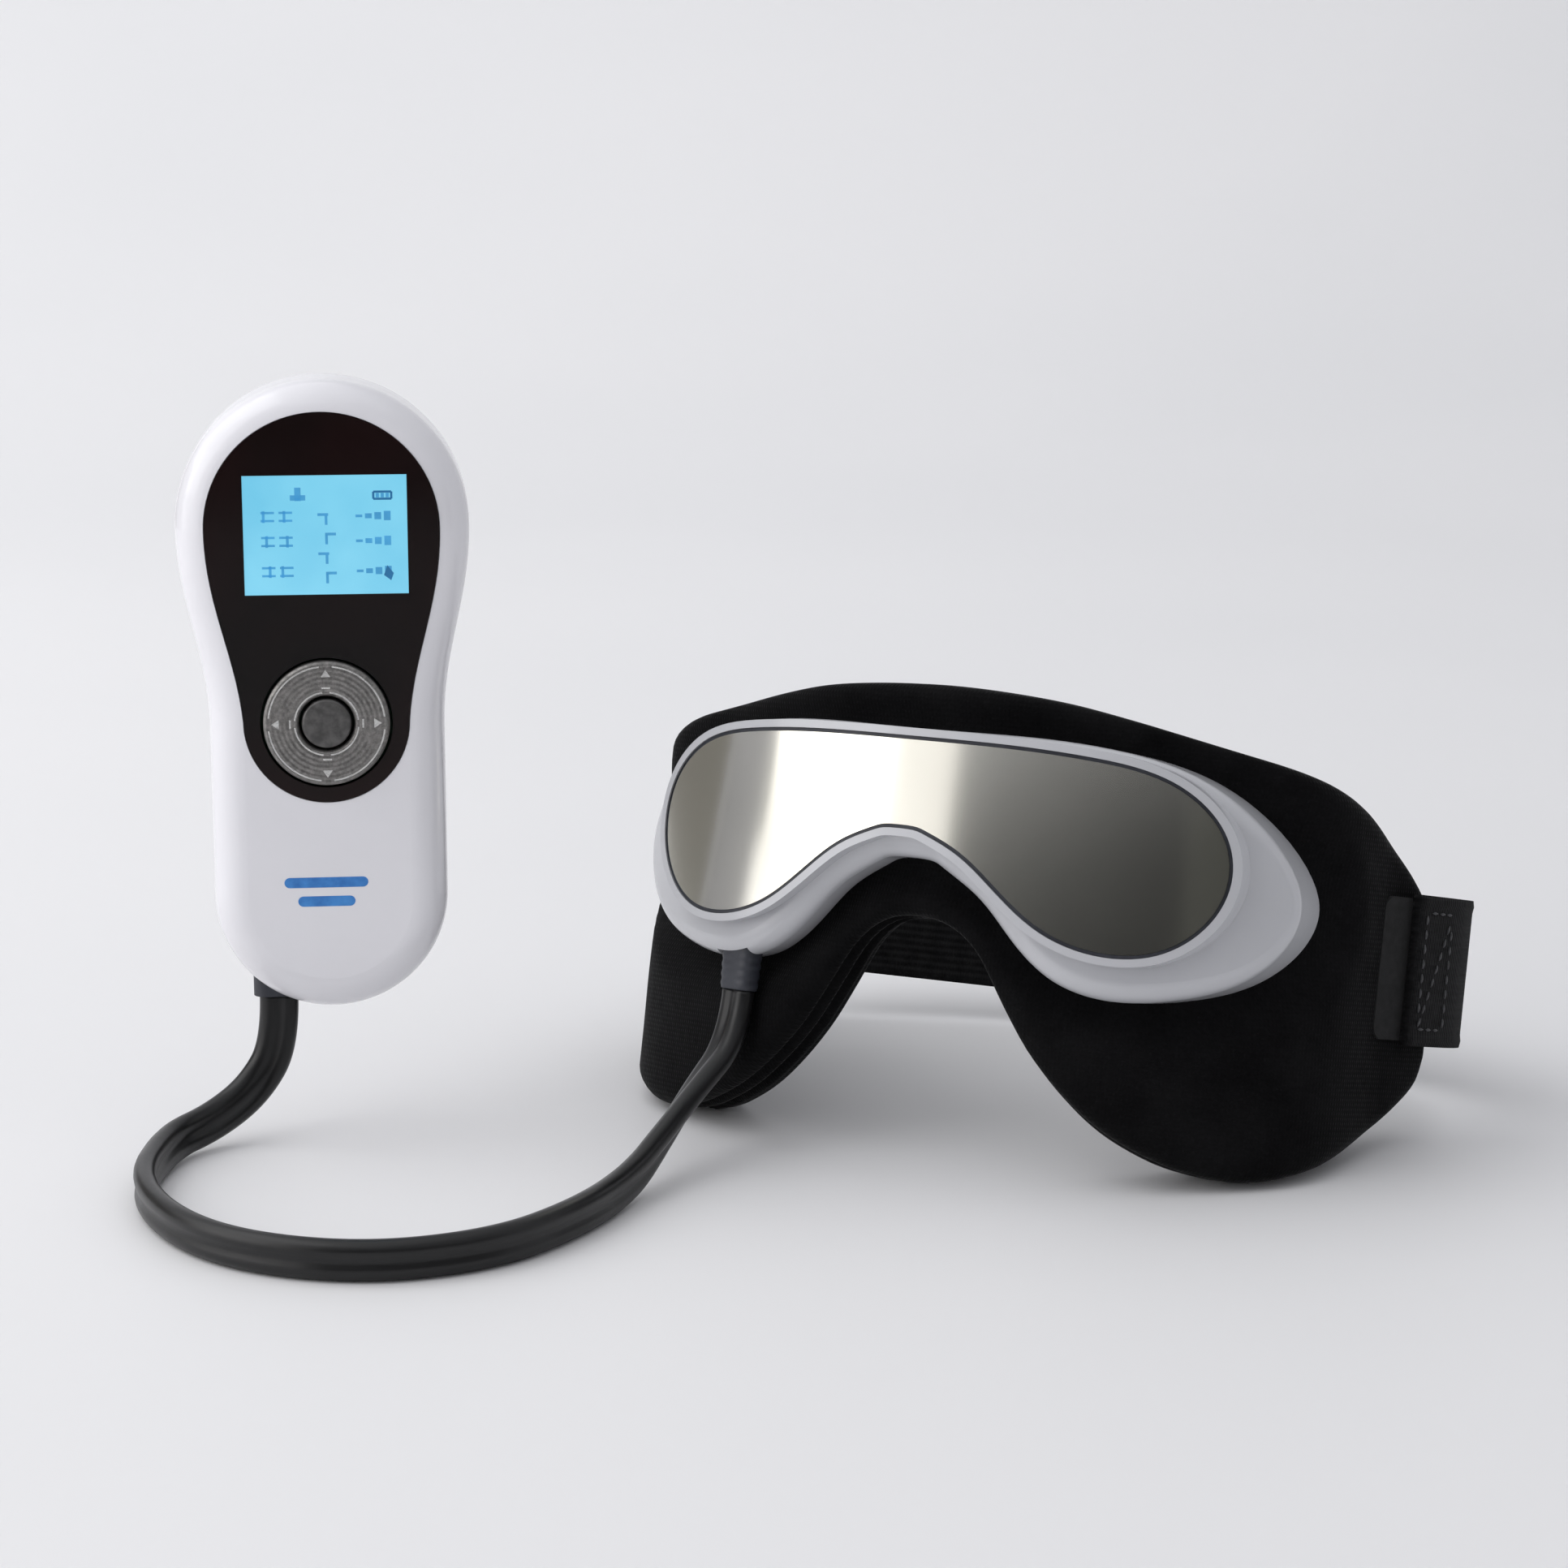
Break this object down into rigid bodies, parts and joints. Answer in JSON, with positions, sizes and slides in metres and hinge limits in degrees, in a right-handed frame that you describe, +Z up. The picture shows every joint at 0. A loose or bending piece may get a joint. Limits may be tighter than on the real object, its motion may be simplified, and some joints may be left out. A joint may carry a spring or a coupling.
{
  "type": "eye massager mask",
  "caption": "Wrap-round eye massager mask with a mirrored lens, soft air-cell pad and strap, joined by a flat air hose to an upright hand controller with a display and keys.",
  "frame": {"origin": "centre of the footprint of the mask and controller, on the surface they stand on", "axes": "+Z up, the mask faces -Y, its width runs along X and the controller stands on its -X side"},
  "size_m": [0.2674, 0.2704, 0.1781],
  "materials": {
    "air_tube": "translucent soft tubing",
    "hose_black": "satin black twin hose",
    "inner_plastic": "matte dark moulding",
    "cell_wrap": "plain printed wrap",
    "contact_steel": "plated spring steel",
    "white_shell": "glossy white moulding",
    "cell_film": "thin satin air cell film",
    "steel": "plain steel",
    "relief_black": "satin black moulding",
    "lining_black": "soft black plush",
    "panel_black": "gloss black panel",
    "strap_black": "black elastic webbing",
    "heater_film": "amber film",
    "lcd_module": "lit display",
    "lcd_window": "clear cyan display window",
    "seal_grey": "matte dark seal",
    "board_green": "green circuit board",
    "lens_mirror": "silvered curved lens, soft reflections",
    "pad_black": "black foam-backed knit",
    "key_dark": "satin dark grey key",
    "key_grey": "satin grey key",
    "patch_black": "black hook and loop"
  },
  "bodies": {
    "massager": {"air_feed_tube": "air_tube", "air_hose": "hose_black", "air_manifold": "inner_plastic", "battery_cells": "cell_wrap", "battery_contacts": "contact_steel", "battery_springs": "contact_steel", "battery_tray": "inner_plastic", "bladder_left": "cell_film", "bladder_right": "cell_film", "bladder_tube_left": "air_tube", "bladder_tube_right": "air_tube", "chassis_screws": "steel", "controller_back_shell": "white_shell", "controller_front_shell": "white_shell", "controller_grommet": "relief_black", "controller_screws": "steel", "dome_switches": "contact_steel", "face_lining": "lining_black", "face_panel": "panel_black", "head_strap": "strap_black", "heater_film_left": "heater_film", "heater_film_right": "heater_film", "lcd_module": "lcd_module", "lcd_window": "lcd_window", "lens_gasket": "seal_grey", "main_board": "board_green", "mask_bezel": "white_shell", "mask_chassis": "inner_plastic", "mask_lens": "lens_mirror", "mask_pad": "pad_black", "mask_strain_relief": "relief_black", "pump_head": "inner_plastic", "pump_motor": "steel", "pump_tube": "air_tube", "release_valve": "steel", "strap_patch_left": "patch_black", "strap_patch_right": "patch_black", "vibration_motor_left": "steel", "vibration_motor_right": "steel"},
    "nav_collar": {"nav_collar": "key_dark"},
    "nav_ring": {"nav_ring": "key_grey"},
    "select_button": {"select_button": "key_dark"},
    "battery_cover": {"battery_cover": "white_shell"},
    "eccentric_weight_left": {"eccentric_weight_left": "steel"},
    "eccentric_weight_right": {"eccentric_weight_right": "steel"},
    "pump_crank": {"pump_crank": "steel"},
    "valve_plunger": {"valve_plunger": "steel"}
  },
  "joints": [
    {"name": "nav_key_rock_up_down", "type": "hinge", "parent": "massager", "child": "nav_collar", "pos_m": [-0.09603, -0.08143, 0.1012], "axis": [0.848, 0.5299, 0], "range_deg": [-3, 3], "stiffness_Nm_per_rad": 0.15},
    {"name": "nav_key_rock_left_right", "type": "hinge", "parent": "nav_collar", "child": "nav_ring", "pos_m": [-0.09603, -0.08143, 0.1012], "axis": [0, 0, 1], "range_deg": [-3, 3], "stiffness_Nm_per_rad": 0.15},
    {"name": "select_button_press", "type": "slide", "parent": "massager", "child": "select_button", "axis": [-0.5299, 0.848, 0], "range_m": [0, 0.0008], "stiffness_N_per_m": 900},
    {"name": "battery_cover_slide", "type": "slide", "parent": "massager", "child": "battery_cover", "axis": [0, 0, -1], "range_m": [0, 0.01]},
    {"name": "left_weight_spin", "type": "hinge", "parent": "massager", "child": "eccentric_weight_left", "pos_m": [-0.00275, -0.03721, 0.06595], "axis": [0, 0.2419, 0.9703], "continuous": true},
    {"name": "right_weight_spin", "type": "hinge", "parent": "massager", "child": "eccentric_weight_right", "pos_m": [0.06635, -0.03721, 0.06595], "axis": [0, 0.2419, 0.9703], "continuous": true},
    {"name": "pump_crank_spin", "type": "hinge", "parent": "massager", "child": "pump_crank", "pos_m": [-0.10409, -0.06854, 0.1455], "axis": [0.848, 0.5299, 0], "continuous": true},
    {"name": "valve_plunger_slide", "type": "slide", "parent": "massager", "child": "valve_plunger", "axis": [-0.848, -0.5299, 0], "range_m": [0, 0.001], "stiffness_N_per_m": 800}
  ]
}
